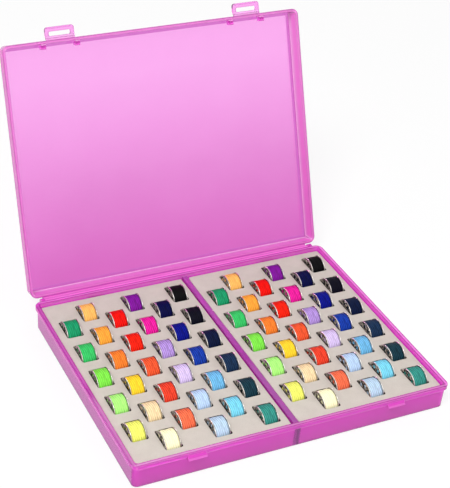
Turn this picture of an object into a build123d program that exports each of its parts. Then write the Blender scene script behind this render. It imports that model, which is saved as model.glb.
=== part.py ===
# Bobbin storage case: a moulded box with a hinged lid, two foam inserts and sixty-six wound bobbins.
# The origin is the middle of the base's underside, +Z is up, the hinge is at +Y and the latches at -Y.
# The lid is drawn shut and then turned open about its hinge, and the latches turn with it.
import os
from math import atan, degrees
from build123d import *

# Bobbins
bobbin_diameter = 20.5
bobbin_width = 11.4
flange_thickness = 0.8
thread_depth_below_rim = 0.5
thread_side_gap = 0.05
round_sides = 12
rows_odd = 5
rows_even = 6
columns = 6

# Slots in the foam and the foam around them
slot_side_room = 1.5
slot_end_room = 0.5
bobbin_shift = 0.35
web_between_columns = 5.76
web_between_rows = 9.5
margin_at_divider = 5.5
margin_at_side = 6.3
margin_at_ends = 6.85
bobbin_rise = 5.9
seat_gap = 0.1
foam_under_slot = 1.65
foam_corner_radius = 3.0
foam_gap = 0.3

# Base tray
wall = 1.8
floor = 1.8
base_draft = 0.6
base_edge_bevel = 1.0
corner_radius = 6.0
rim_height = 3.0
rim_overhang = 1.5
rim_above_foam = 2.7
rim_chamfer = 0.4

# Divider between the two inserts
divider_foot = 5.0
divider_crest = 4.0
divider_above_foam = 1.0
divider_skin = 1.4
divider_web = 1.5
divider_cells = 4

# Lid, drawn shut
lid_seam = 0.1
lid_inset = 0.6
lid_wall = 2.0
lid_panel = 1.8
lid_draft = 0.8
lid_headroom = 7.6
lid_edge_radius = 2.5
lid_rim_chamfer = 0.3
lid_open_angle = 111.55

# Hinge at the back: one long barrel on the lid with a pin at each end
barrel_length = 230.0
hinge_reach = 2.2
hinge_gap = 0.3
ear_radius = 2.9
ear_thickness = 3.0
ear_foot = 6.5
barrel_end_gap = 0.2
pin_radius = 1.25
pin_fit = 0.06
skirt_thickness = 1.4
skirt_rise = 3.0
skirt_step = 0.4
skirt_bend = 1.0
heel_spacing = 150.0
heel_width = 13.6
heel_gap = 0.05
heel_drop = 0.2
heel_height = 1.5

# Latches at the front, flat in the plane of the lid's rim
latch_spacing = 156.5
latch_width = 23.0
latch_thickness = 2.0
latch_corner_radius = 2.2
latch_web = 2.0
latch_bar = 3.4
latch_lift = 0.6
latch_gap = 0.3
window_width = 17.4
window_height = 3.4
window_corner_radius = 1.0
bead_radius = 0.5
bead_fit = 0.05
bevel_length = 2.4
grip_width = 1.2
grip_height = 0.6

# Catch lugs on the base and blocks that stiffen the lid beside each latch
lug_side_gap = 1.7
lug_top_gap = 0.2
lug_play = 0.1
lug_stand = 0.1
block_width = 3.8
block_depth = 4.5
block_height = 5.0
block_lift = 1.0
block_side_step = 2.1

# Sizes that follow from the ones above
slot_width = bobbin_width + slot_side_room
slot_length = bobbin_diameter + slot_end_room
column_pitch = slot_width + web_between_columns
row_pitch = slot_length + web_between_rows
foam_width = margin_at_divider + (columns - 1) * column_pitch + slot_width + margin_at_side
foam_depth = (rows_even - 1) * row_pitch + slot_length + 2 * margin_at_ends
foam_inner_edge = divider_foot / 2 + foam_gap
foam_thickness = foam_under_slot + seat_gap + bobbin_diameter - bobbin_rise
foam_top = floor + foam_thickness
bobbin_axis_height = foam_top + bobbin_rise - bobbin_diameter / 2
shell_side = wall + base_draft + rim_overhang
case_width = 2 * (foam_inner_edge + foam_width + foam_gap + shell_side)
case_depth = foam_depth + 2 * (foam_gap + shell_side)
base_height = foam_top + rim_above_foam
rim_underside = base_height - rim_height
divider_top = foam_top + divider_above_foam
lid_rim_height = base_height + lid_seam
lid_depth = bobbin_rise - rim_above_foam - lid_seam + lid_headroom + lid_panel
lid_width = case_width - 2 * lid_inset
lid_length = case_depth - 2 * lid_inset
lid_radius = corner_radius - lid_inset
hinge_y = case_depth / 2 + hinge_reach
hinge_z = rim_underside
barrel_radius = hinge_reach - hinge_gap
ear_gap = barrel_length + 2 * barrel_end_gap
latch_length = latch_web + window_height + latch_bar
latch_hinge_y = -(case_depth / 2 + latch_gap)
latch_hinge_z = lid_rim_height + latch_lift
embed = wall / 2


# Block with rounded upright corners whose outline at the top is narrower by inset on every side.
def tapered_block(width, depth, radius, bottom, top, inset):
    outline = Pos(0, 0, bottom) * RectangleRounded(width, depth, radius)
    return extrude(outline, top - bottom, taper=degrees(atan(inset / (top - bottom))))


# Wedge between two rectangles, for the divider and the cells that hollow it out.
def tapered_rib(foot, crest, length, bottom, top):
    lower = Pos(0, 0, bottom) * Rectangle(foot, length)
    upper = Pos(0, 0, top) * Rectangle(crest, length)
    return loft([lower.face(), upper.face()], ruled=True)


# Side profile, given as (y, z) points, made into a piece of this width centred at x.
def side_piece(points, x, width):
    profile = Plane.YZ * Polygon(*points, align=None)
    return Pos(x, 0, 0) * extrude(profile, width / 2, both=True)


# Cylinder along X, centred at x.
def cross_rod(x, y, z, radius, length):
    return Pos(x, y, z) * Rot(0, 90, 0) * Cylinder(radius, length)


# Turn about the hinge axis; the lid opens with a positive angle.
def turned_open(shape, angle):
    return Pos(0, hinge_y, hinge_z) * Rot(-angle, 0, 0) * Pos(0, -hinge_y, -hinge_z) * shape


# Outer form of the base: drafted walls, bevelled bottom edge and the rim that stands out around the top.
def base_outside():
    foot_width = case_width - 2 * (rim_overhang + base_draft)
    foot_depth = case_depth - 2 * (rim_overhang + base_draft)
    foot_radius = corner_radius - rim_overhang - base_draft
    body = tapered_block(foot_width, foot_depth, foot_radius, 0, rim_underside, -base_draft)
    body = chamfer(body.faces().sort_by(Axis.Z)[0].edges(), base_edge_bevel)
    rim_outline = Pos(0, 0, rim_underside) * RectangleRounded(case_width, case_depth, corner_radius)
    rim = extrude(rim_outline, rim_height)
    rim = chamfer(rim.faces().sort_by(Axis.Z)[-1].edges(), rim_chamfer)
    return body + rim


# Space inside the base.
def base_inside():
    inner_width = case_width - 2 * shell_side
    inner_depth = case_depth - 2 * shell_side
    inner_radius = corner_radius - shell_side
    return tapered_block(inner_width, inner_depth, inner_radius, floor, base_height, -base_draft)


# Hollow rib between the inserts, cored from below and tied across by webs that end flush with the floor.
def divider():
    inner_depth = case_depth - 2 * (rim_overhang + wall)
    return tapered_rib(divider_foot, divider_crest, inner_depth + wall, floor / 2, divider_top)


def divider_cores():
    core_length = case_depth - 2 * (shell_side + divider_web)
    cell_pitch = (core_length + divider_web) / divider_cells
    core_foot = divider_foot - 2 * divider_skin
    core_crest = divider_crest - 2 * divider_skin
    core_top = divider_top - divider_skin
    core = tapered_rib(core_foot, core_crest, cell_pitch - divider_web, 0, core_top)
    first = -(divider_cells - 1) / 2
    return [Pos(0, (first + i) * cell_pitch, 0) * core for i in range(divider_cells)]


# Pair of ears that hold the ends of the hinge, carried by the back wall and the rim.
def hinge_ears():
    wall_y = case_depth / 2 - rim_overhang
    eye = Pos(hinge_y, hinge_z) * Circle(ear_radius)
    top = hinge_z + ear_radius
    root = Pos(wall_y - embed / 2, top - (ear_foot + ear_radius) / 2) * Rectangle(embed, ear_foot + ear_radius)
    outline = make_hull(eye.edges() + root.edges())
    ears = []
    for side in (-1, 1):
        middle = side * (ear_gap + ear_thickness) / 2
        ear = Pos(middle, 0, 0) * extrude(Plane.YZ * outline, ear_thickness / 2, both=True)
        ears.append(ear - cross_rod(middle, hinge_y, hinge_z, pin_radius + pin_fit, 2 * ear_thickness))
    return ears


# Catch lug that the latch's window drops over: a ramp outside and a flat underside that holds the bar.
def catch_lug(x):
    rim_y = -case_depth / 2
    wall_y = rim_y + rim_overhang + embed
    top = latch_hinge_z - latch_web - lug_top_gap
    bottom = latch_hinge_z - latch_web - window_height + lug_play
    tip_y = rim_y - latch_gap - latch_thickness - lug_stand
    points = [(wall_y, top), (rim_y, top), (tip_y, bottom), (wall_y, bottom)]
    return side_piece(points, x, window_width - 2 * lug_side_gap)


def base_tray():
    tray = base_outside() - base_inside()
    tray = tray + divider()
    tray = tray - divider_cores()
    tray = tray + hinge_ears()
    for x in (-latch_spacing / 2, latch_spacing / 2):
        tray = tray + catch_lug(x)
    return tray


# Shell of the lid, drawn shut: drafted walls and a rounded edge around the panel.
def lid_shell():
    top = lid_rim_height + lid_depth
    outside = tapered_block(lid_width, lid_length, lid_radius, lid_rim_height, top, lid_draft)
    outside = fillet(outside.faces().sort_by(Axis.Z)[-1].edges(), lid_edge_radius)
    outside = chamfer(outside.faces().sort_by(Axis.Z)[0].edges(), lid_rim_chamfer)
    inner_width = lid_width - 2 * lid_wall
    inner_length = lid_length - 2 * lid_wall
    inner_radius = lid_radius - lid_wall
    inside = tapered_block(inner_width, inner_length, inner_radius, lid_rim_height, top - lid_panel, lid_draft)
    return outside - inside


# Hinge side of the lid: barrel, pins that run in the ears, and the skirt that hangs from the back wall.
def hinge_barrel():
    barrel = cross_rod(0, hinge_y, hinge_z, barrel_radius, barrel_length)
    pins = cross_rod(0, hinge_y, hinge_z, pin_radius, ear_gap + 2 * ear_thickness)
    near = hinge_y - barrel_radius
    far = near + skirt_thickness
    wall_middle = case_depth / 2 - lid_inset - lid_wall / 2
    foot = base_height + skirt_step
    points = [
        (near, hinge_z),
        (near, foot),
        (wall_middle, foot),
        (wall_middle, foot + skirt_rise),
        (far, foot + skirt_bend),
        (far, hinge_z),
    ]
    skirt = side_piece(points, 0, barrel_length)
    return barrel + pins + skirt


# Heel that meets the base's back wall below the rim when the lid stands open.
def stop_heel(x):
    wall_y = case_depth / 2 - rim_overhang + heel_gap
    top = rim_underside - heel_drop
    points = [(hinge_y, top), (wall_y, top), (wall_y, top - heel_height), (hinge_y, top - heel_height)]
    return turned_open(side_piece(points, x, heel_width), -lid_open_angle)


# Land on the lid's front wall that one latch bends from.
def latch_land(x):
    wall_y = -(case_depth / 2 - lid_inset)
    face_y = latch_hinge_y + bead_radius + bead_fit
    low = latch_hinge_z - bead_radius
    high = latch_hinge_z + bead_radius / 2
    points = [(wall_y + lid_wall / 2, low), (face_y, low), (face_y, high), (wall_y + lid_wall / 2, high)]
    return side_piece(points, x, latch_width)


# Blocks inside the lid's front wall, one on each side of a latch.
def stiffening_blocks(x):
    front = -(case_depth / 2 - lid_inset - lid_wall / 2)
    back = -(case_depth / 2 - lid_inset - lid_wall - block_depth)
    low = lid_rim_height + block_lift
    step = latch_width / 2 + block_side_step
    points = [(front, low), (back, low), (back, low + block_height), (front, low + block_height)]
    return [side_piece(points, x + side * step, block_width) for side in (-1, 1)]


def lid_shut():
    lid = lid_shell() + hinge_barrel()
    for x in (-heel_spacing / 2, heel_spacing / 2):
        lid = lid + stop_heel(x)
    for x in (-latch_spacing / 2, latch_spacing / 2):
        lid = lid + latch_land(x)
        lid = lid + stiffening_blocks(x)
    return lid


# Latch loop, flat beside the lid's rim: bead, bevelled root, window and a grip along its free edge.
def latch_shut(x):
    y = latch_hinge_y
    z = latch_hinge_z
    high = z + latch_thickness
    points = [
        (y, z),
        (y - latch_length, z),
        (y - latch_length, high),
        (y - bevel_length, high),
        (y, z + bead_radius),
    ]
    plate = side_piece(points, x, latch_width)
    corners = plate.edges().filter_by(Axis.Z).group_by(Axis.Y)[0]
    plate = fillet(corners, latch_corner_radius)
    window_y = y - latch_web - window_height / 2
    window = RectangleRounded(window_width, window_height, window_corner_radius)
    plate = plate - Pos(x, window_y, z) * extrude(window, 2 * latch_thickness, both=True)
    bead = cross_rod(x, y, z, bead_radius, latch_width)
    grip_y = y - latch_length + grip_width / 2
    grip_length = latch_width - 2 * latch_corner_radius
    grip = Pos(x, grip_y, high + grip_height / 2) * Box(grip_length, grip_width, grip_height)
    return plate + bead + grip


# Middle of each slot of a column, from the back row to the front row.
def row_places(column):
    rows = rows_odd if column % 2 == 0 else rows_even
    return [((rows - 1) / 2 - row) * row_pitch for row in range(rows)]


# Middle of a column of slots; side is -1 for the left insert and 1 for the right one.
# The inserts mirror each other in outline, and the columns run from left to right in both.
def column_place(side, column):
    from_divider = margin_at_divider if side > 0 else margin_at_side
    left_edge = foam_inner_edge if side > 0 else -(foam_inner_edge + foam_width)
    return left_edge + from_divider + slot_width / 2 + column * column_pitch


def foam_insert(side):
    middle = side * (foam_inner_edge + foam_width / 2)
    outline = Pos(middle, 0, floor) * RectangleRounded(foam_width, foam_depth, foam_corner_radius)
    block = extrude(outline, foam_thickness)
    pocket_floor = floor + foam_under_slot
    pocket_height = foam_top - pocket_floor
    pocket = Box(slot_width, slot_length, pocket_height, align=(Align.CENTER, Align.CENTER, Align.MIN))
    pockets = []
    for column in range(columns):
        x = column_place(side, column)
        pockets += [Pos(x, y, pocket_floor) * pocket for y in row_places(column)]
    return block - pockets


# Many-sided disc along X; the bobbins repeat so often that their rims are twelve-sided.
def disc(x, y, radius, thickness):
    outline = Plane.YZ * RegularPolygon(radius, round_sides)
    return Pos(x, y, bobbin_axis_height) * extrude(outline, thickness / 2, both=True)


# The two metal flanges of one bobbin; its hub is wound over.
def spool(x, y):
    step = (bobbin_width - flange_thickness) / 2
    return [disc(x + side * step, y, bobbin_diameter / 2, flange_thickness) for side in (-1, 1)]


# Thread wound between the flanges, nearly up to their rims.
def winding(x, y):
    width = bobbin_width - 2 * (flange_thickness + thread_side_gap)
    return disc(x, y, bobbin_diameter / 2 - thread_depth_below_rim, width)


def write(name, shapes):
    solids = []
    for shape in shapes:
        solids += shape.solids()
    body = solids[0] if len(solids) == 1 else Compound(children=solids)
    export_step(body, f"parts/{name}.step")


# Spools of one column in one file, and its windings in three: back, middle and front rows.
def write_column(side_name, side, column):
    x = column_place(side, column) - bobbin_shift
    places = row_places(column)
    spools = []
    for y in places:
        spools += spool(x, y)
    write(f"spools_{side_name}_{column + 1}", spools)
    for group, first in (("back", 0), ("middle", 2), ("front", 4)):
        windings = [winding(x, y) for y in places[first:first + 2]]
        write(f"thread_{side_name}_{column + 1}_{group}", windings)


os.makedirs("parts", exist_ok=True)
write("base_tray", [base_tray()])
write("lid", [turned_open(lid_shut(), lid_open_angle)])
for side_name, side in (("left", -1), ("right", 1)):
    latch = latch_shut(side * latch_spacing / 2)
    write(f"latch_{side_name}", [turned_open(latch, lid_open_angle)])
    write(f"foam_insert_{side_name}", [foam_insert(side)])
    for column in range(columns):
        write_column(side_name, side, column)
print("case", round(case_width, 2), round(case_depth, 2), "rim", base_height, "foam top", foam_top)
print("hinge axis", hinge_y, hinge_z, "latch axis shut", latch_hinge_y, latch_hinge_z)
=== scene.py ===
import math

import bmesh
import bpy
import numpy as np
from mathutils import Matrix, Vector


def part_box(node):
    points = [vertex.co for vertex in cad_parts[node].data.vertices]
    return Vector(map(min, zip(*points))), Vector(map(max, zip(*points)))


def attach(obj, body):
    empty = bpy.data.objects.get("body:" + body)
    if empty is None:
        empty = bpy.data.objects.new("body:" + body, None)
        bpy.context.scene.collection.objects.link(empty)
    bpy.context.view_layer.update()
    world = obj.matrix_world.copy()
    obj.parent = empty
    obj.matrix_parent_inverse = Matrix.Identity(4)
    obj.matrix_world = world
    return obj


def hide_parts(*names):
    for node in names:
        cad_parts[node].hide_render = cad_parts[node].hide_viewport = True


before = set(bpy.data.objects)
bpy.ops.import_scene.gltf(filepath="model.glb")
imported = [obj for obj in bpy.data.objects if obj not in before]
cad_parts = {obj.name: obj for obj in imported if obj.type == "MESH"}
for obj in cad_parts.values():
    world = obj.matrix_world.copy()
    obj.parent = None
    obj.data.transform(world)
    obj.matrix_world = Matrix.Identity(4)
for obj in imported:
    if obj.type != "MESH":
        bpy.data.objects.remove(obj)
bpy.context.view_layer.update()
print("frame loaded:", len(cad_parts), "nodes")

mm = 0.001
sides = ("left", "right")
groups = ("back", "middle", "front")
columns = range(1, 7)


def linearColour(hexText):
    # sRGB hex to the linear values that shaders take
    parts = [int(hexText[i:i + 2], 16) / 255 for i in (1, 3, 5)]
    return tuple([p / 12.92 if p <= 0.04045 else ((p + 0.055) / 1.055) ** 2.4 for p in parts] + [1.0])


def addNode(tree, kind, settings=None):
    # each setting goes to the input of that name or number, as a link if it is another node's output;
    # a name that isn't an input is one of the node's properties
    node = tree.nodes.new(kind)
    for name, value in (settings or {}).items():
        if isinstance(value, bpy.types.NodeSocket):
            tree.links.new(value, node.inputs[name])
        elif isinstance(name, int) or name in node.inputs:
            node.inputs[name].default_value = value
        else:
            setattr(node, name, value)
    return node


def numberFrom(tree, operation, *terms):
    node = addNode(tree, "ShaderNodeMath", {"operation": operation, **dict(enumerate(terms))})
    return node.outputs["Value"]


def vectorFrom(tree, operation, *terms):
    node = addNode(tree, "ShaderNodeVectorMath", {"operation": operation, **dict(enumerate(terms))})
    return node.outputs["Vector"]


def scalarFrom(tree, operation, *terms):
    # for the operations that take vectors and give one number
    node = addNode(tree, "ShaderNodeVectorMath", {"operation": operation, **dict(enumerate(terms))})
    return node.outputs["Value"]


def ranged(tree, value, reach, ends=(0.0, 1.0)):
    # value within reach is carried to ends, and held at them beyond
    node = addNode(tree, "ShaderNodeMapRange", {
        "Value": value, "From Min": reach[0], "From Max": reach[1], "To Min": ends[0], "To Max": ends[1],
    })
    return node.outputs["Result"]


def noise(tree, place, size, detail):
    # features lie about size apart, in the place's own unit
    node = addNode(tree, "ShaderNodeTexNoise", {"Vector": place, "Scale": 1 / size, "Detail": detail})
    return node.outputs["Fac"]


def blended(tree, share, under, over):
    # share of over laid on under; each colour is a hex text or a node's output
    under, over = [linearColour(c) if isinstance(c, str) else c for c in (under, over)]
    return addNode(tree, "ShaderNodeMix", {"data_type": "RGBA", 0: share, 6: under, 7: over}).outputs[2]


def raised(tree, height, bump, normal=None):
    # bump is its strength and its depth in millimetres
    strength, depth = bump
    settings = {"Height": height, "Strength": strength, "Distance": depth * mm}
    if normal is not None:
        settings["Normal"] = normal
    return addNode(tree, "ShaderNodeBump", settings).outputs["Normal"]


def newMaterial(name):
    material = bpy.data.materials.new(name)
    material.use_nodes = True
    tree = material.node_tree
    tree.nodes.clear()
    return material, tree


def finishMaterial(tree, shader):
    addNode(tree, "ShaderNodeOutputMaterial", {"Surface": shader})


def meshFromGrids(name, grids, materials, smoothAngle):
    # grids is a list of (points, closedAlongFirst, closedAlongSecond, materialIndex, uv or None);
    # points is an array rows x columns x 3, and each cell of the grid becomes one face
    coords, faces, faceMaterials, uvs = [], [], [], []
    start = 0
    for points, loopRows, loopColumns, materialIndex, uv in grids:
        index = np.arange(points.shape[0] * points.shape[1]).reshape(points.shape[:2]) + start
        start += index.size
        if loopRows:
            index = np.vstack([index, index[:1]])
        if loopColumns:
            index = np.hstack([index, index[:, :1]])
        corners = [index[:-1, :-1], index[:-1, 1:], index[1:, 1:], index[1:, :-1]]
        cells = np.stack(corners, axis=-1).reshape(-1, 4)
        coords.append(points.reshape(-1, 3))
        faces.append(cells)
        faceMaterials.append(np.full(len(cells), materialIndex))
        if uv is None:
            uvs.append(np.zeros((len(cells), 4, 2)))
        else:
            corners = [uv[:-1, :-1], uv[:-1, 1:], uv[1:, 1:], uv[1:, :-1]]
            uvs.append(np.stack(corners, axis=2).reshape(-1, 4, 2))
    mesh = bpy.data.meshes.new(name)
    mesh.from_pydata(np.vstack(coords).tolist(), [], np.vstack(faces).tolist())
    mesh.polygons.foreach_set("material_index", np.concatenate(faceMaterials).astype(np.int32))
    layer = mesh.uv_layers.new(name="surface")
    layer.data.foreach_set("uv", np.vstack(uvs).reshape(-1).astype(np.float32))
    for material in materials:
        mesh.materials.append(material)
    mesh.update()
    piece = bpy.data.objects.new(name, mesh)
    bpy.context.scene.collection.objects.link(piece)
    weldAndShade(piece, smoothAngle)
    return piece


def weldAndShade(piece, smoothAngle, weldWithin=2e-6, speck=1e-7):
    # joins the points that grids share, then shades smooth below the angle
    work = bmesh.new()
    work.from_mesh(piece.data)
    bmesh.ops.remove_doubles(work, verts=work.verts, dist=weldWithin)
    bmesh.ops.dissolve_degenerate(work, edges=work.edges, dist=speck)
    bmesh.ops.recalc_face_normals(work, faces=work.faces)
    work.to_mesh(piece.data)
    work.free()
    piece.data.shade_smooth()
    piece.data.set_sharp_from_angle(angle=math.radians(smoothAngle))


# Translucent polystyrene, injection moulded: a thin wall passes light and tints it pink, and where light
# runs along a wall the colour deepens; the skin is polished, with a faint waviness from the mould
lidLook = {
    "name": "translucentPolystyreneLid",
    "light": "#FFD2F8",
    "deep": "#DC76C9",
    # painted highlight colour along the edges
    "glow": "#FFD9F8",
    "tintAxes": (0.0, 1.0, 1.0),            # painted shade: the tint lightens with the distance from the hinge's line, darker near the hinge
    "tintFrom": (0.0, 0.100, 0.018),
    "tintReach": (0.015, 0.165),
    "clearness": 0.97,
    "wallClearness": 0.34,                  # the walls are less clear than the panel
    "roughness": 0.03,
    "passed": (0.985, 0.22, 0.91, 1.0),     # share of red, green and blue that the plastic lets pass
}
# the latches are of the lid's plastic, but so small that their edges get a painted dark outline
latchLook = dict(lidLook, name="translucentPolystyreneLatch", glow="#B850B0")
baseLook = {
    "name": "translucentPolystyreneBase",
    "light": "#F852E6",
    "deep": "#EA5AD4",
    # painted highlight colour along the edges
    "glow": "#FF9CF4",
    "tintAxes": (0.0, 0.0, 1.0),            # painted shade: the tint lightens with the height above the bottom, darker towards the bottom
    "tintFrom": (0.0, 0.0, 0.0),
    "tintReach": (0.001, 0.014),
    "clearness": 0.62,
    "roughness": 0.07,
    "passed": (0.98, 0.10, 0.90, 1.0),
}
skinLook = {
    "ior": 1.49,
    "edgeRadius": 0.4 * mm,
    "edgeLineRadius": 0.7 * mm,        # painted highlight along the edges, standing in for light piped along the walls
    "edgeLineTurn": (0.995, 0.90),     # cosine of the turn at an edge, from no painted edge highlight to the full one
    "edgeLineStrength": 0.8,
    "tintEnd": 0.95,               # share of the light colour at the far end of the tint
    "tintWaver": 0.1,              # and up to this much more of it in the flow waves
    "shine": (0.8, 1.4),           # the roughness varies between these shares of its value
    "waveSize": 30.0,              # mm between the faint flow waves of the skin
    "waveBump": (0.05, 1.0),       # strength, and depth in mm
    "grainSize": 1.2,              # mm, mould texture drawn coarse enough to show
    "grainBump": (0.02, 0.2),
    "density": 300.0,              # per metre of plastic
}

# Bands that run round a piece parallel to its outline, in the frame of the shut case: painted highlight and
# painted shade lines along the walls, ledges and rims, standing in part for the walls, ledges and the
# divider's foot that lie behind the surface. The outline is (half width, half depth). A band is (from, to,
# colour) outwards of it, and shows from the height above upwards. A level is (from, to, colour) in height,
# and shows outwards of outerFrom. All in millimetres
lidPaintedBands = {
    "outline": (121.6, 94.4),
    "above": 0.0,
    "opened": 111.55,              # degrees that the piece is turned from shut
    # painted shade and highlight lines round the panel's edge, the walls and the rim
    "bands": ((-2.8, -0.3, "#D884D0"), (-0.3, 0.2, "#FFC4F6"), (0.2, 0.75, "#FF8CEA"),
              (0.75, 1.9, "#EA7AD6"), (1.9, 3.0, "#C64CB4"), (3.0, 9.0, "#FF84EA")),
    "levels": ((21.35, 60.0, "#EC30CE"),),   # the outer faces of the walls read deeper than the rim
    "outerFrom": (1.7, 1.95),
}
basePaintedBands = {
    "outline": (125.0, 97.8),
    "above": 20.5,
    "opened": 0.0,
    # painted shade lines at the rim's inner and outer edges, a painted highlight along its middle
    "bands": ((-3.8, -2.8, "#CA42BC"), (-2.5, -1.3, "#FFB4FA"), (-1.0, -0.35, "#CE44C0")),
    # shade under the rim, light below it, shade at the bottom edge
    "levels": ((16.8, 17.7, "#C846B8"), (15.7, 16.5, "#FF86F2"), (-1.0, 1.1, "#B650A6")),
    "outerFrom": (-2.6, -2.2),
}
paintedBandLook = {
    "hinge": (0.0, 0.100, 0.01785),
    "soft": 0.15,                  # mm to each side of a band's edge
    "bandStrength": 0.9,
    "levelStrength": 0.8,
    "wallFrom": (-0.6, -0.3),      # mm outwards of the outline, where the panel passes into the wall
}

# Painted highlights and painted shade at single places on the tray: colour, strength and steps. A step is an
# axis, where the tint is off on it and where it is on, in millimetres; wide and deep are distances from the
# middle planes
aboveFoam = (("high", 17.8, 18.2), ("high", 20.7, 20.4))
basePaintedLight = {
    # painted shade where the divider's foot shows through the end walls, and on its crest between the inserts
    "dividerFootShade": ("#98379A", 0.80, (("wide", 2.7, 2.1), ("deep", 95.0, 95.5), ("high", 17.5, 16.5))),
    "dividerCrestShade": ("#C45ACC", 0.80, (("wide", 2.7, 2.1), ("deep", 94.5, 94.0), ("high", 17.5, 18.5))),
    # the inner faces of the walls catch the light above the foam
    "endFaces": ("#FF9CF4", 0.90, (("deep", 93.8, 94.1), ("deep", 95.2, 94.9), *aboveFoam)),
    "sideFaces": ("#FF84EC", 0.90, (("wide", 120.8, 121.1), ("wide", 122.4, 122.1), *aboveFoam)),
    # painted shade: the side walls are deeper outside than the front, and so is the rim on the left side
    "flankShade": ("#DC24CC", 0.80, (("wide", 122.3, 122.6), ("high", 17.7, 17.4))),
    "leftRimShade": ("#D434C8", 0.62, (("x", -121.0, -121.3), ("high", 20.4, 20.7))),
    # painted highlight on the catch lugs, which stand out from the front wall below the rim
    "lugHighlight": ("#FF86EE", 0.85, (("y", -96.6, -96.8), ("high", 17.7, 17.4))),
}


def zoneColour(tree, colour, steps, shade, strength):
    # lays a shade over the colour where every step is on; a step is (value, where off, where on) in mm
    share = strength
    for value, off, on in steps:
        share = numberFrom(tree, "MULTIPLY", ranged(tree, value, (off * mm, on * mm)), share)
    return blended(tree, share, colour, shade)


def paintedOutlineBands(tree, place, colour, setup, look):
    # turns the place back to the shut frame and lays the painted bands of highlight and shade over the
    # colour;
    # also gives, from 0 to 1, how far the place is in the wall
    turned = addNode(tree, "ShaderNodeMapping", {
        "Vector": vectorFrom(tree, "SUBTRACT", place, look["hinge"]),
        "Rotation": (math.radians(setup["opened"]), 0, 0),
        "Location": look["hinge"],
    })
    sizes = vectorFrom(tree, "ABSOLUTE", turned.outputs["Vector"])
    halfX, halfY = [half * mm for half in setup["outline"]]
    beyond = vectorFrom(tree, "SUBTRACT", sizes, (halfX, halfY, 0))
    axes = addNode(tree, "ShaderNodeSeparateXYZ", {"Vector": beyond}).outputs
    outwards = numberFrom(tree, "MAXIMUM", axes["X"], axes["Y"])
    height = axes["Z"]
    soft = look["soft"]

    def within(value, start, end):
        return [(value, start - soft, start + soft), (value, end + soft, end - soft)]

    highEnough = (height, setup["above"] - soft, setup["above"] + soft)
    for start, end, shade in setup["bands"]:
        steps = within(outwards, start, end) + [highEnough]
        colour = zoneColour(tree, colour, steps, shade, look["bandStrength"])
    farEnough = (outwards, *setup["outerFrom"])
    for start, end, shade in setup["levels"]:
        steps = within(height, start, end) + [farEnough]
        colour = zoneColour(tree, colour, steps, shade, look["levelStrength"])
    inWall = ranged(tree, outwards, [value * mm for value in look["wallFrom"]])
    return colour, inWall


def tintWithPaintedShade(tree, place, flow, look, skin):
    # tint by the distance from a line or a level, a painted shade that is darker near it, a little uneven
    # with the flow
    flat = vectorFrom(tree, "MULTIPLY", place, look["tintAxes"])
    away = scalarFrom(tree, "DISTANCE", flat, look["tintFrom"])
    reach = ranged(tree, away, look["tintReach"], (0.0, skin["tintEnd"]))
    uneven = numberFrom(tree, "MULTIPLY_ADD", flow, skin["tintWaver"], reach)
    return blended(tree, uneven, look["deep"], look["light"])


def paintedEdgeLines(tree, colour, look, skin):
    # painted highlight along the edges, a painted dark outline on the latches; edges are where the normal,
    # averaged over a small radius, leaves the face's own
    softened = addNode(tree, "ShaderNodeBevel", {"samples": 4, "Radius": skin["edgeLineRadius"]})
    own = addNode(tree, "ShaderNodeNewGeometry")
    same = scalarFrom(tree, "DOT_PRODUCT", softened.outputs["Normal"], own.outputs["Normal"])
    atEdge = ranged(tree, same, skin["edgeLineTurn"], (0.0, skin["edgeLineStrength"]))
    return blended(tree, atEdge, colour, look["glow"])


def paintedLightZones(tree, place, colour, zones):
    # lays painted highlights and painted shade at single places of the tray
    split = addNode(tree, "ShaderNodeSeparateXYZ", {"Vector": place}).outputs
    axes = {
        "x": split["X"],
        "y": split["Y"],
        "high": split["Z"],
        "wide": numberFrom(tree, "ABSOLUTE", split["X"]),
        "deep": numberFrom(tree, "ABSOLUTE", split["Y"]),
    }
    for shade, strength, edges in zones.values():
        steps = [(axes[axis], off, on) for axis, off, on in edges]
        colour = zoneColour(tree, colour, steps, shade, strength)
    return colour


def mouldedPlastic(look, skin, bands=None, zones=None):
    material, tree = newMaterial(look["name"])
    place = addNode(tree, "ShaderNodeTexCoord").outputs["Object"]
    flow = noise(tree, place, skin["waveSize"] * mm, detail=3.0)
    grain = noise(tree, place, skin["grainSize"] * mm, detail=2.0)
    colour = tintWithPaintedShade(tree, place, flow, look, skin)
    colour = paintedEdgeLines(tree, colour, look, skin)
    clearness = look["clearness"]
    if bands:
        colour, inWall = paintedOutlineBands(tree, place, colour, bands, paintedBandLook)
        if "wallClearness" in look:
            clearness = ranged(tree, inWall, (0.0, 1.0), (look["clearness"], look["wallClearness"]))
    if zones:
        colour = paintedLightZones(tree, place, colour, zones)
    shine = ranged(tree, flow, (0.0, 1.0), [look["roughness"] * share for share in skin["shine"]])
    edge = addNode(tree, "ShaderNodeBevel", {"samples": 4, "Radius": skin["edgeRadius"]})
    grained = raised(tree, grain, skin["grainBump"], edge.outputs["Normal"])
    shader = addNode(tree, "ShaderNodeBsdfPrincipled", {
        "Base Color": colour,
        "Roughness": shine,
        "IOR": skin["ior"],
        "Transmission Weight": clearness,
        "Normal": raised(tree, flow, skin["waveBump"], grained),
    })
    inside = addNode(tree, "ShaderNodeVolumeAbsorption", {
        "Color": look["passed"], "Density": skin["density"],
    })
    addNode(tree, "ShaderNodeOutputMaterial", {
        "Surface": shader.outputs["BSDF"],
        "Volume": inside.outputs["Volume"],
    })
    return material


latchPlastic = mouldedPlastic(latchLook, skinLook)
casePlastics = {
    "base_tray": mouldedPlastic(baseLook, skinLook, basePaintedBands, basePaintedLight),
    "lid": mouldedPlastic(lidLook, skinLook, lidPaintedBands),
    "latch_left": latchPlastic,
    "latch_right": latchPlastic,
}
for name, plastic in casePlastics.items():
    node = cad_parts[name]
    node.data.materials.clear()
    node.data.materials.append(plastic)
print("case plastic set")


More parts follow.
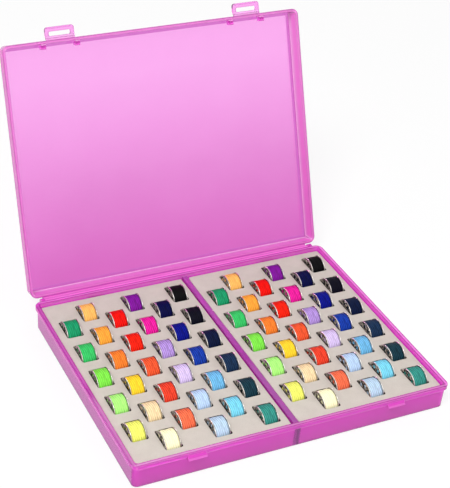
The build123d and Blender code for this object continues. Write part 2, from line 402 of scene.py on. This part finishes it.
# Closed-cell polyethylene foam, knife cut: matt warm grey, finely pored, a little mottled
foamLook = {
    "colour": "#CDC6BD",
    "shade": "#BDB5AC",
    "pore": "#B4ABA5",
    "slotShade": "#1F1B19",           # painted shade on the walls of the cuts, darker down in the slots
    "slotShadeDepth": (0.05 * mm, 0.5 * mm),
    "cutSoftness": 0.03,        # share of the surface map's step from the block to a slot
    "mottleSize": 9.0,          # mm
    "poreSize": 1.1,            # mm, coarser than the real 0.3 mm cells so that they show
    "poreReach": (0.0, 0.35),   # way out from a pore's middle over which it fades, in pore sizes
    "poreStrength": 0.55,
    "poreBump": (0.35, 0.25),   # strength, and depth in mm
    "roughness": 0.92,
    "specular": 0.25,
}
foamShape = {
    "slotWidth": 12.9 * mm,
    "slotLength": 21.0 * mm,
    "slotShift": 0.35 * mm,     # the bobbins stand this much left of the middle of their slots
    "slotCorner": 1.7 * mm,
    "cornerFade": 2.4 * mm,     # beyond a slot's corner the grid straightens over this length
    "seatGap": 0.1 * mm,
    "lip": 0.35 * mm,           # rounding of the cut edges
    "edge": 0.9 * mm,           # rounding of the block's own edges
    "cornerRadius": 3.0 * mm,
    "cornerSteps": (-1.0, -0.7, -0.42, -0.18),          # grid lines inside a slot's edge, in corner radii
    "lipSteps": (-0.01, 0.06, 0.3, 0.65, 1.0, 1.3),     # and at it and outside, in lip radii
    "edgeAngles": (0, 30, 60, 90),                      # degrees of the block's rounded edge at its lines
    "smoothAngle": 50,
}


def closedCellFoam(look, topHeight):
    material, tree = newMaterial("closedCellFoam")
    place = addNode(tree, "ShaderNodeTexCoord").outputs["Object"]
    mottle = noise(tree, place, look["mottleSize"] * mm, detail=4.0)
    cells = addNode(tree, "ShaderNodeTexVoronoi", {
        "Vector": place, "Scale": 1 / (look["poreSize"] * mm), "Randomness": 1.0,
    }).outputs["Distance"]
    base = blended(tree, mottle, look["shade"], look["colour"])
    hollow = ranged(tree, cells, look["poreReach"], (look["poreStrength"], 0.0))
    tone = blended(tree, hollow, base, look["pore"])
    # the surface map's u is 1 within the slots and 0 on the rest of the block
    uv = addNode(tree, "ShaderNodeUVMap", {"uv_map": "surface"}).outputs["UV"]
    mapped = addNode(tree, "ShaderNodeSeparateXYZ", {"Vector": uv}).outputs["X"]
    inSlot = ranged(tree, mapped, (0.0, look["cutSoftness"]))
    # painted shade: the slot walls darken below the top of the block
    height = addNode(tree, "ShaderNodeSeparateXYZ", {"Vector": place}).outputs["Z"]
    below = ranged(tree, height, [topHeight - depth for depth in look["slotShadeDepth"]])
    inSlotShade = numberFrom(tree, "MULTIPLY", below, inSlot)
    shader = addNode(tree, "ShaderNodeBsdfPrincipled", {
        "Base Color": blended(tree, inSlotShade, tone, look["slotShade"]),
        "Roughness": look["roughness"],
        "Specular IOR Level": look["specular"],
        "Normal": raised(tree, cells, look["poreBump"]),
    })
    finishMaterial(tree, shader.outputs["BSDF"])
    return material


def bobbinRows(nodeName, fiveRowsBelow=0.16):
    # radius, middle along X, middles along Y from back to front and height of the axes, all from the CAD
    # node's box; a column shorter than fiveRowsBelow metres holds five bobbins, and the others six
    low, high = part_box(nodeName)
    radius = (high.z - low.z) / 2
    count = 5 if (high.y - low.y) < fiveRowsBelow else 6
    middles = np.linspace(high.y - radius, low.y + radius, count)
    return radius, (low.x + high.x) / 2, middles, (low.z + high.z) / 2


def slotPlaces(side, shape):
    # middle of each slot and the height of its floor
    slots = []
    for column in columns:
        radius, x, middles, z = bobbinRows(f"spools_{side}_{column}")
        slots += [(x + shape["slotShift"], y, z - radius - shape["seatGap"]) for y in middles]
    return np.array(slots)


def gridLines(low, high, slotMiddles, half, shape):
    # lines of the sheet along one axis, crowded at each slot edge so that the lip is round, the wall steep
    # and the corner an arc, and crowded at the block's own edge, which is round too
    corner = np.array(shape["cornerSteps"]) * shape["slotCorner"]
    lip = np.array(shape["lipSteps"]) * shape["lip"]
    offsets = half + np.concatenate([corner, lip])
    border = shape["edge"] * (1 - np.cos(np.radians(shape["edgeAngles"])))
    lines = [low + border, high - border]
    for middle in np.unique(np.round(slotMiddles, 6)):
        lines += [middle - offsets, middle + offsets]
    return np.unique(np.round(np.concatenate(lines), 7))


def roundedDrop(distance, radius):
    # how far a surface has dropped at this distance inwards of its rounded edge
    return radius - np.sqrt(np.maximum(radius ** 2 - np.maximum(radius - distance, 0) ** 2, 0))


def sheetHeights(gridX, gridY, slots, low, high, shape):
    # the top plane, lowered inside each slot to the slot's floor and rounded at every edge; the second
    # array is 1 inside the slots
    lip = shape["lip"]
    top = np.full(gridX.shape, high.z)
    inSlot = np.zeros(gridX.shape)
    for x, y, floor in slots:
        pastX = np.abs(gridX - x) - shape["slotWidth"] / 2
        pastY = np.abs(gridY - y) - shape["slotLength"] / 2
        outside = np.hypot(np.maximum(pastX, 0), np.maximum(pastY, 0))
        top = np.where(outside < lip, high.z - roundedDrop(outside, lip), top)
        inside = (pastX < 0) & (pastY < 0)
        top = np.where(inside, floor, top)
        inSlot = np.where(inside, 1.0, inSlot)
    toSide = np.minimum(gridX - low.x, high.x - gridX)
    toEnd = np.minimum(gridY - low.y, high.y - gridY)
    drop = roundedDrop(np.minimum(toSide, toEnd), shape["edge"])
    return np.minimum(top, high.z - drop), inSlot


def roundSlotCorners(gridX, gridY, slots, shape):
    # the square ring of points round each slot corner is drawn in to a circle
    corner, fade = shape["slotCorner"], shape["cornerFade"]
    innerX, innerY = shape["slotWidth"] / 2 - corner, shape["slotLength"] / 2 - corner
    movedX, movedY = gridX.copy(), gridY.copy()
    for x, y in slots[:, :2]:
        offX, offY = gridX - x, gridY - y
        pastX = np.maximum(np.abs(offX) - innerX, 0)
        pastY = np.maximum(np.abs(offY) - innerY, 0)
        ring = np.maximum(pastX, pastY)
        near = (pastX > 0) & (pastY > 0) & (ring < corner + fade)
        share = np.clip((corner + fade - ring) / fade, 0, 1)
        scale = 1 + share * (ring / np.maximum(np.hypot(pastX, pastY), 1e-9) - 1)
        movedX = np.where(near, x + np.sign(offX) * (innerX + pastX * scale), movedX)
        movedY = np.where(near, y + np.sign(offY) * (innerY + pastY * scale), movedY)
    return movedX, movedY


def roundBlockCorners(gridX, gridY, low, high, corner):
    # the block's corners, seen from above, are drawn in to an arc
    innerX = np.clip(gridX, low.x + corner, high.x - corner)
    innerY = np.clip(gridY, low.y + corner, high.y - corner)
    away = np.hypot(gridX - innerX, gridY - innerY)
    pull = np.where(away > corner, corner / np.maximum(away, 1e-9), 1.0)
    return innerX + (gridX - innerX) * pull, innerY + (gridY - innerY) * pull


def foamBlock(side, shape, material):
    low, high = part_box("foam_insert_" + side)
    slots = slotPlaces(side, shape)
    xs = gridLines(low.x, high.x, slots[:, 0], shape["slotWidth"] / 2, shape)
    ys = gridLines(low.y, high.y, slots[:, 1], shape["slotLength"] / 2, shape)
    gridX, gridY = np.meshgrid(xs, ys, indexing="ij")
    top, inSlot = sheetHeights(gridX, gridY, slots, low, high, shape)
    gridX, gridY = roundSlotCorners(gridX, gridY, slots, shape)
    gridX, gridY = roundBlockCorners(gridX, gridY, low, high, shape["cornerRadius"])
    sheet = np.stack([gridX, gridY, top], axis=-1)
    # the rim of the sheet goes down to the underside, and the underside closes at its middle
    rim = np.concatenate([sheet[:-1, 0], sheet[-1, :-1], sheet[:0:-1, -1], sheet[0, :0:-1]])
    foot = rim.copy()
    foot[:, 2] = low.z
    middle = np.tile(foot.mean(axis=0), (len(foot), 1))
    skirt = np.stack([rim, foot, middle], axis=1)
    mapped = np.stack([inSlot, inSlot], axis=-1)
    grids = [(sheet, False, False, 0, mapped), (skirt, True, False, 0, None)]
    piece = meshFromGrids("foam_sheet_" + side, grids, [material], shape["smoothAngle"])
    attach(piece, "insert_" + side)
    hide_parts("foam_insert_" + side)


foam = closedCellFoam(foamLook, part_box("foam_insert_left")[1].z)
for side in sides:
    foamBlock(side, foamShape, foam)
print("foam inserts made")


# Nickel-plated pressed steel: bright, slightly warm, with fine turning marks and duller spots
rimLook = {
    "name": "nickelPlatedSteel",
    "colour": "#F4F1EC",
    "dull": "#C4BFB8",
    "roughness": 0.16,
    "shine": (0.7, 1.8),        # the roughness varies between these shares of its value
    "markSize": 0.35,           # mm between the turning marks
    "markStretch": (4.0, 1.0, 1.0),
    "markBump": (0.08, 0.05),
    "spotSize": 3.5,            # mm between the dull spots
    "spotReach": (0.3, 0.6),
}
# the flange faces sit in the shade of the slots: painted shade, dark, with bright spots that are painted
# glints
faceShadeAndGlintLook = dict(rimLook, name="nickelSteelPaintedShadeAndGlints", colour="#C4BCB6", dull="#2A2624", roughness=0.26,
                spotSize=1.6, spotReach=(0.44, 0.60))
spoolShape = {
    "thickness": 0.46 * mm,
    "hubRadius": 3.9 * mm,
    "boreRadius": 3.05 * mm,
    "boreSoftness": 0.25 * mm,
    "holeRadius": 1.45 * mm,
    "holeCircle": 6.85 * mm,
    "faceInner": 4.7 * mm,
    "faceOuter": 9.7 * mm,
    "rimBulge": 0.13 * mm,      # the rolled rim stands proud of the flat
    "rimSteps": (0.35, 0.6),    # share of the rim's width at its groove and behind it
    "holes": 8,
    "steps": 5,                 # points along each side of a sector
    "smoothAngle": 35,
    "seed": 66,
}


def nickelSteel(look):
    material, tree = newMaterial(look["name"])
    place = addNode(tree, "ShaderNodeTexCoord").outputs["Object"]
    stretched = addNode(tree, "ShaderNodeMapping", {"Vector": place, "Scale": look["markStretch"]})
    marks = noise(tree, stretched.outputs["Vector"], look["markSize"] * mm, detail=3.0)
    spots = noise(tree, place, look["spotSize"] * mm, detail=2.0)
    shine = [look["roughness"] * share for share in look["shine"]]
    shader = addNode(tree, "ShaderNodeBsdfPrincipled", {
        "Base Color": blended(tree, ranged(tree, spots, look["spotReach"]), look["dull"], look["colour"]),
        "Metallic": 1.0,
        "Roughness": ranged(tree, marks, (0.0, 1.0), shine),
        "Normal": raised(tree, marks, look["markBump"]),
    })
    finishMaterial(tree, shader.outputs["BSDF"])
    return material


def turnedRings(profile, angles):
    # profile (x, r) turned about the X axis through the angles
    x = np.repeat(profile[:, 0][:, None], len(angles), axis=1)
    y = profile[:, 1][:, None] * np.cos(angles)[None, :]
    z = profile[:, 1][:, None] * np.sin(angles)[None, :]
    return np.stack([x, y, z], axis=-1)


def flangeSector(shape, outerX, innerX, turn):
    # one sector of a flange: a loop round the hole, carried from the sector's border to the hole and back
    inner, outer = shape["faceInner"], shape["faceOuter"]
    half = math.pi / shape["holes"]
    steps = shape["steps"]
    t = np.arange(steps) / steps
    still = np.ones(steps)
    radii = np.concatenate([
        still * outer, outer + (inner - outer) * t, still * inner, inner + (outer - inner) * t,
    ])
    angles = np.concatenate([-half + 2 * half * t, still * half, half - 2 * half * t, still * -half]) + turn
    borderY, borderZ = radii * np.cos(angles), radii * np.sin(angles)
    centreY, centreZ = shape["holeCircle"] * math.cos(turn), shape["holeCircle"] * math.sin(turn)
    bearing = np.arctan2(borderZ - centreZ, borderY - centreY)
    holeY = centreY + shape["holeRadius"] * np.cos(bearing)
    holeZ = centreZ + shape["holeRadius"] * np.sin(bearing)
    loops = (
        (innerX, borderY, borderZ), (innerX, holeY, holeZ),
        (outerX, holeY, holeZ), (outerX, borderY, borderZ),
    )
    return np.stack([np.stack([np.full(len(y), x), y, z], axis=-1) for x, y, z in loops])


def spoolGrids(shape, radius, width):
    # whole spool about the X axis: two pierced flanges with rolled rims on a hollow hub; faces take
    # material 1, and rims and hub material 0
    count = shape["holes"] * shape["steps"]
    angles = (np.arange(count) / count) * 2 * math.pi - math.pi / shape["holes"]
    outer = width / 2
    inner = outer - shape["thickness"]
    bulge, face = shape["rimBulge"], shape["faceOuter"]
    groove, crest = [face + (radius - face) * share for share in shape["rimSteps"]]
    rim = np.array([
        (outer, face), (outer - bulge, groove), (outer, crest), (outer, radius - bulge),
        (outer - bulge, radius), (inner + bulge, radius), (inner, radius - bulge), (inner, face),
    ])
    bore, hub, flat, soft = shape["boreRadius"], shape["hubRadius"], shape["faceInner"], shape["boreSoftness"]
    through = np.array([
        (-outer, flat), (-outer, bore + soft), (-outer + soft, bore),
        (outer - soft, bore), (outer, bore + soft), (outer, flat),
    ])
    around = np.array([(-inner, flat), (-inner, hub), (inner, hub), (inner, flat)])
    grids = []
    for sign in (-1, 1):
        for k in range(shape["holes"]):
            sector = flangeSector(shape, sign * outer, sign * inner, 2 * math.pi * k / shape["holes"])
            grids.append((sector, False, True, 1, None))
        grids.append((turnedRings(rim * (sign, 1), angles), False, True, 0, None))
    for profile in (through, around):
        grids.append((turnedRings(profile, angles), False, True, 0, None))
    return grids


def moved(grid, offset):
    return (grid[0] + np.array(offset), *grid[1:])


def rolled(grid, angle):
    # turn about the X axis, so that no two spools show their holes alike
    x, y, z = [grid[0][..., axis] for axis in range(3)]
    turnedY = y * math.cos(angle) - z * math.sin(angle)
    turnedZ = y * math.sin(angle) + z * math.cos(angle)
    return (np.stack([x, turnedY, turnedZ], axis=-1), *grid[1:])


chance = np.random.default_rng(spoolShape["seed"])
metals = [nickelSteel(rimLook), nickelSteel(faceShadeAndGlintLook)]
for side in sides:
    for column in columns:
        nodeName = f"spools_{side}_{column}"
        radius, x, middles, z = bobbinRows(nodeName)
        low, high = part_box(nodeName)
        spool = spoolGrids(spoolShape, radius, high.x - low.x)
        grids = []
        for y in middles:
            turn = chance.uniform(0, 2 * math.pi)
            grids += [moved(rolled(grid, turn), (x, y, z)) for grid in spool]
        piece = meshFromGrids(f"bobbins_{side}_{column}", grids, metals, spoolShape["smoothAngle"])
        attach(piece, f"column_{side}_{column}")
        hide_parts(nodeName)
print("spools made")


# Spun polyester sewing thread, wound level: soft sheen across the turns, with painted shade between them and
# a painted highlight on them
threadShades = {
    "emerald": "#1D9463", "grass": "#38BC62", "lime": "#7ADA48", "appleGreen": "#A4EC78", "citron": "#E4E668",
    "apricot": "#FBB45F", "tangerine": "#F89F3A", "pumpkin": "#F27B2D", "sunflower": "#F8CA2F",
    "peach": "#ECCFA2", "cream": "#FAF2C4",
    "scarlet": "#F0130D", "poppy": "#F4210F", "vermilion": "#EC5530", "brick": "#E6412B", "coral": "#F26C4A",
    "plum": "#7E1896", "fuchsia": "#E61F98", "lavender": "#AC8CD2", "lilac": "#D0BBE6",
    "powderBlue": "#B2CAEA", "iceBlue": "#B2CAE0",
    "midnight": "#05083F", "navy": "#0A1283", "royal": "#183AA0", "sky": "#6CB0DC", "aqua": "#76CBE4",
    "black": "#050507", "ink": "#070616", "darkNavy": "#081536", "slateNavy": "#182E4B",
    "bottleGreen": "#163642", "seaTeal": "#368C80",
}
threadColumns = (      # shades from the back row to the front row; both inserts hold the same set
    ("emerald", "grass", "lime", "appleGreen", "citron"),
    ("apricot", "tangerine", "pumpkin", "sunflower", "peach", "cream"),
    ("scarlet", "poppy", "vermilion", "brick", "coral"),
    ("plum", "fuchsia", "lavender", "lilac", "powderBlue", "iceBlue"),
    ("midnight", "navy", "royal", "sky", "aqua"),
    ("black", "ink", "darkNavy", "slateNavy", "bottleGreen", "seaTeal"),
)
threadLook = {
    "paintedTurnShade": (0.34, 0.88),       # painted shade between the turns: share of the thread's colour left there, for a black and a white thread
    "crest": (1.24, 1.08),        # painted highlight: the share on top of the turns
    "furrow": (0.40, 0.88),       # and where a loose strand lies aside
    "strandTop": 1.04,
    "lightShares": (0.21, 0.72, 0.07),      # of red, green and blue in how light a shade is
    "lightPower": 0.6,
    "turnSpacing": 1.45,          # mm between the turns, coarser than the real 0.3 mm so that they show
    "turnReach": (0.0, 0.6),      # part of the wave over which a turn rises
    "turnWaver": 2.6,
    "turnLean": 5,                # degrees
    "turnBump": (0.5, 0.25),
    "wavePeriod": 0.314,          # of the wave texture at scale 1
    "strandWidth": 0.9,           # mm, loose strands that lie over the turns
    "strandLength": 9.0,          # mm
    "strandReach": (0.36, 0.48),
    "strandWaver": 0.3,
    "patchSize": 2.0,             # mm between lighter and darker patches
    "patch": (0.90, 1.14),
    "paintedFlangeShade": 0.42,             # painted shade where the turns meet the flanges: share of the thread's colour left there
    "flangeShadeReach": 0.8,              # mm
    "brightest": (0.98, 0.98, 0.98),
    "roughness": 0.55,
    "sheen": 0.03,
    "sheenRoughness": 0.4,
    "specular": 0.06,
}
windingShape = {
    "sideGap": 0.12 * mm,
    "coreRadius": 4.0 * mm,
    "belowRim": 0.58 * mm,
    "shoulder": 0.35 * mm,        # the winding is this much lower at the flanges
    "shoulderSlope": 16,          # and rises from them this steeply, over its width
    "across": 30,
    "around": 64,
    "unevenness": 0.10 * mm,
    "waves": 5,
    "waveDivisor": 3,             # of their sum
    "waveUps": (2, 7),            # half waves across the winding, from and to below
    "waveRounds": (-3, 4),        # and whole ones round it
    "phaseRange": 6.28,
    "smoothAngle": 60,
}


def between(ends, share):
    return ends[0] + (ends[1] - ends[0]) * share


def woundThread(name, shade, look, width):
    material, tree = newMaterial("polyesterThread_" + name)
    # the surface map is in millimetres: u across the winding, v round it; the turns lean a little
    uv = addNode(tree, "ShaderNodeUVMap", {"uv_map": "surface"}).outputs["UV"]
    lean = addNode(tree, "ShaderNodeMapping", {
        "Vector": uv, "Rotation": (0, 0, math.radians(look["turnLean"])),
    }).outputs["Vector"]
    turns = addNode(tree, "ShaderNodeTexWave", {
        "wave_type": "BANDS", "bands_direction": "X", "Vector": lean,
        "Scale": look["wavePeriod"] / look["turnSpacing"],
        "Distortion": look["turnWaver"], "Detail": 1.0, "Detail Scale": 0.5,
    }).outputs["Fac"]
    strandPlace = addNode(tree, "ShaderNodeMapping", {
        "Vector": lean, "Scale": (1 / look["strandWidth"], 1 / look["strandLength"], 1.0),
    }).outputs["Vector"]
    strands = addNode(tree, "ShaderNodeTexNoise", {
        "Vector": strandPlace, "Scale": 1.0, "Detail": 2.0, "Distortion": look["strandWaver"],
    }).outputs["Fac"]
    patches = noise(tree, uv, look["patchSize"], detail=2.0)
    across = addNode(tree, "ShaderNodeSeparateXYZ", {"Vector": uv}).outputs["X"]
    half = width / mm / 2
    outwards = numberFrom(tree, "ABSOLUTE", numberFrom(tree, "SUBTRACT", across, half))

    linear = linearColour(shade)
    light = sum(part * share for part, share in zip(linear, look["lightShares"])) ** look["lightPower"]
    paintedTurnShade, crest, furrow = [between(look[key], light) for key in ("paintedTurnShade", "crest", "furrow")]
    # painted shade between the turns and a painted highlight on them
    share = ranged(tree, turns, look["turnReach"], (paintedTurnShade, crest))
    for other in (
        ranged(tree, patches, (0.0, 1.0), look["patch"]),
        ranged(tree, strands, look["strandReach"], (furrow, look["strandTop"])),
        # painted shade on the turns next to the flanges
        ranged(tree, outwards, (half - look["flangeShadeReach"], half), (1.0, look["paintedFlangeShade"])),
    ):
        share = numberFrom(tree, "MULTIPLY", share, other)
    body = addNode(tree, "ShaderNodeVectorMath", {"operation": "SCALE", 0: linear[:3], "Scale": share})
    shader = addNode(tree, "ShaderNodeBsdfPrincipled", {
        "Base Color": vectorFrom(tree, "MINIMUM", body.outputs["Vector"], look["brightest"]),
        "Roughness": look["roughness"],
        "Sheen Weight": look["sheen"],
        "Sheen Roughness": look["sheenRoughness"],
        "Sheen Tint": linear,
        "Specular IOR Level": look["specular"],
        "Normal": raised(tree, turns, look["turnBump"]),
    })
    finishMaterial(tree, shader.outputs["BSDF"])
    return material


def windingGrids(shape, radius, width, materialIndex, seed):
    # radius over the width and round: level, a little lower at the flanges, with slow waves where layers
    # end; two sides and a bore close it
    wave = np.random.default_rng(seed)
    u = np.linspace(0, 1, shape["across"])
    v = np.arange(shape["around"] + 1) / shape["around"] * 2 * math.pi
    gridU, gridV = np.meshgrid(u, v, indexing="ij")
    height = np.zeros_like(gridU)
    for k in range(shape["waves"]):
        ups = wave.integers(*shape["waveUps"])
        rounds = wave.integers(*shape["waveRounds"])
        phase = wave.uniform(0, shape["phaseRange"])
        height += np.sin(gridU * math.pi * ups + gridV * rounds + phase) / shape["waveDivisor"]
    rise = 1 - np.exp(-np.minimum(gridU, 1 - gridU) * shape["shoulderSlope"])
    r = radius - shape["belowRim"] - shape["shoulder"] * (1 - rise) + height * shape["unevenness"] * rise
    x = (gridU - 0.5) * width
    skin = np.stack([x, r * np.cos(gridV), r * np.sin(gridV)], axis=-1)
    uv = np.stack([gridU * width / mm, gridV * radius / mm], axis=-1)
    ends = gridV[[0, -1]]
    core = shape["coreRadius"]
    inner = np.stack([x[[0, -1]], core * np.cos(ends), core * np.sin(ends)], axis=-1)
    grids = [(skin, False, False, materialIndex, uv)]
    for strip in ([inner[0], skin[0]], [skin[-1], inner[1]], [inner[1], inner[0]]):
        points = np.stack(strip)
        outwards = np.hypot(points[..., 1], points[..., 2]) / mm
        stripUv = np.stack([outwards, ends * radius / mm], axis=-1)
        grids.append((points, False, False, materialIndex, stripUv))
    return grids


def windingWidth(nodeName):
    low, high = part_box(nodeName)
    return high.x - low.x - 2 * (spoolShape["thickness"] + windingShape["sideGap"])


# all columns are of one width
width = windingWidth("spools_left_1")
threadMaterials = {name: woundThread(name, shade, threadLook, width) for name, shade in threadShades.items()}
for side in sides:
    for column in columns:
        nodeName = f"spools_{side}_{column}"
        radius, x, middles, z = bobbinRows(nodeName)
        width = windingWidth(nodeName)
        for group, label in enumerate(groups):
            rows = range(2 * group, min(2 * group + 2, len(middles)))
            grids = []
            for i, row in enumerate(rows):
                seed = 1000 * sides.index(side) + 100 * column + row
                winding = windingGrids(windingShape, radius, width, i, seed)
                grids += [moved(grid, (x, middles[row], z)) for grid in winding]
            shades = [threadMaterials[threadColumns[column - 1][row]] for row in rows]
            name = f"winding_{side}_{column}_{label}"
            piece = meshFromGrids(name, grids, shades, windingShape["smoothAngle"])
            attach(piece, f"column_{side}_{column}")
            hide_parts(f"thread_{side}_{column}_{label}")
print("windings made")


# Stage: white sweep that keeps a soft shadow, seen white in glass and metal as well
stageLook = {
    "floorSize": 6.0,
    "floorDrop": 0.2 * mm,       # the floor lies this much below the case
    "floorColour": "#F4F4F4",
    "smoothAngle": 40,
    "whiteToCamera": 0.82,       # how much of what each kind of ray sees of the floor is plain white
    "whiteThroughPlastic": 0.25,
    "worldLight": 0.42,
}
lampSetup = (
    # name, place, target, size, watts
    ("keyLamp", (-0.8, -0.7, 1.5), (0, 0, 0.05), 0.6, 24.0),
    ("frontLamp", (-0.7, -1.6, 0.5), (0, 0, 0.02), 0.9, 5.0),
    ("fillLamp", (1.0, -1.0, 1.6), (0, 0.05, 0.08), 1.3, 8.0),
    ("backLamp", (0.3, 1.5, 1.2), (0, 0.05, 0.08), 1.0, 5.0),
)
# found by matching the slot corners, the rims and the lid with the photograph
cameraView = {
    "place": (-0.42293, -0.72927, 0.65811),
    "turn": (58.602, -3.916, -24.757),
    "lens": 104.40,
    "sensor": 36.0,
    "shift": (0.0717, -0.1004),
    "clip": (0.05, 20.0),
}


def whiteWhereSeen(tree, direct, through):
    # share of plain white for camera and glossy rays, and for rays that come through the plastic
    rays = addNode(tree, "ShaderNodeLightPath").outputs
    first = numberFrom(tree, "MAXIMUM", rays["Is Camera Ray"], rays["Is Glossy Ray"])
    plain = numberFrom(tree, "MULTIPLY", first, direct)
    passed = numberFrom(tree, "MULTIPLY", rays["Is Transmission Ray"], through)
    return numberFrom(tree, "MAXIMUM", plain, passed)


def buildFloor(look):
    half = look["floorSize"] / 2
    line = np.linspace(-half, half, 3)
    gridX, gridY = np.meshgrid(line, line, indexing="ij")
    sheet = np.stack([gridX, gridY, np.full(gridX.shape, -look["floorDrop"])], axis=-1)
    material, tree = newMaterial("paperSweep")
    matt = addNode(tree, "ShaderNodeBsdfDiffuse", {"Color": linearColour(look["floorColour"])})
    glow = addNode(tree, "ShaderNodeEmission", {"Color": (1, 1, 1, 1), "Strength": 1.0})
    factor = whiteWhereSeen(tree, look["whiteToCamera"], look["whiteThroughPlastic"])
    mix = addNode(tree, "ShaderNodeMixShader", {
        0: factor, 1: matt.outputs["BSDF"], 2: glow.outputs["Emission"],
    })
    finishMaterial(tree, mix.outputs["Shader"])
    floor = meshFromGrids("paper_floor", [(sheet, False, False, 0, None)], [material], look["smoothAngle"])


def buildWorld(look):
    world = bpy.data.worlds.new("studio")
    bpy.context.scene.world = world
    world.use_nodes = True
    tree = world.node_tree
    tree.nodes.clear()
    soft = addNode(tree, "ShaderNodeBackground", {"Color": (1, 1, 1, 1), "Strength": look["worldLight"]})
    white = addNode(tree, "ShaderNodeBackground", {"Color": (1, 1, 1, 1), "Strength": 1.0})
    mix = addNode(tree, "ShaderNodeMixShader", {
        0: whiteWhereSeen(tree, 1.0, 1.0), 1: soft.outputs["Background"], 2: white.outputs["Background"],
    })
    addNode(tree, "ShaderNodeOutputWorld", {"Surface": mix.outputs["Shader"]})


def buildLamps(setup):
    for name, place, target, size, watts in setup:
        light = bpy.data.lights.new(name, "AREA")
        light.shape = "SQUARE"
        light.size = size
        light.energy = watts
        lamp = bpy.data.objects.new(name, light)
        lamp.location = place
        lamp.rotation_euler = (Vector(target) - Vector(place)).to_track_quat("-Z", "Y").to_euler()
        bpy.context.scene.collection.objects.link(lamp)


def buildCamera(view):
    data = bpy.data.cameras.new("studioCamera")
    data.lens = view["lens"]
    data.sensor_width = view["sensor"]
    data.sensor_fit = "AUTO"
    data.shift_x, data.shift_y = view["shift"]
    data.clip_start, data.clip_end = view["clip"]
    camera = bpy.data.objects.new("studioCamera", data)
    camera.location = view["place"]
    camera.rotation_euler = [math.radians(angle) for angle in view["turn"]]
    bpy.context.scene.collection.objects.link(camera)
    bpy.context.scene.camera = camera


buildFloor(stageLook)
buildWorld(stageLook)
buildLamps(lampSetup)
buildCamera(cameraView)
bpy.context.scene.view_settings.view_transform = "Standard"
print("stage, lamps and camera set")
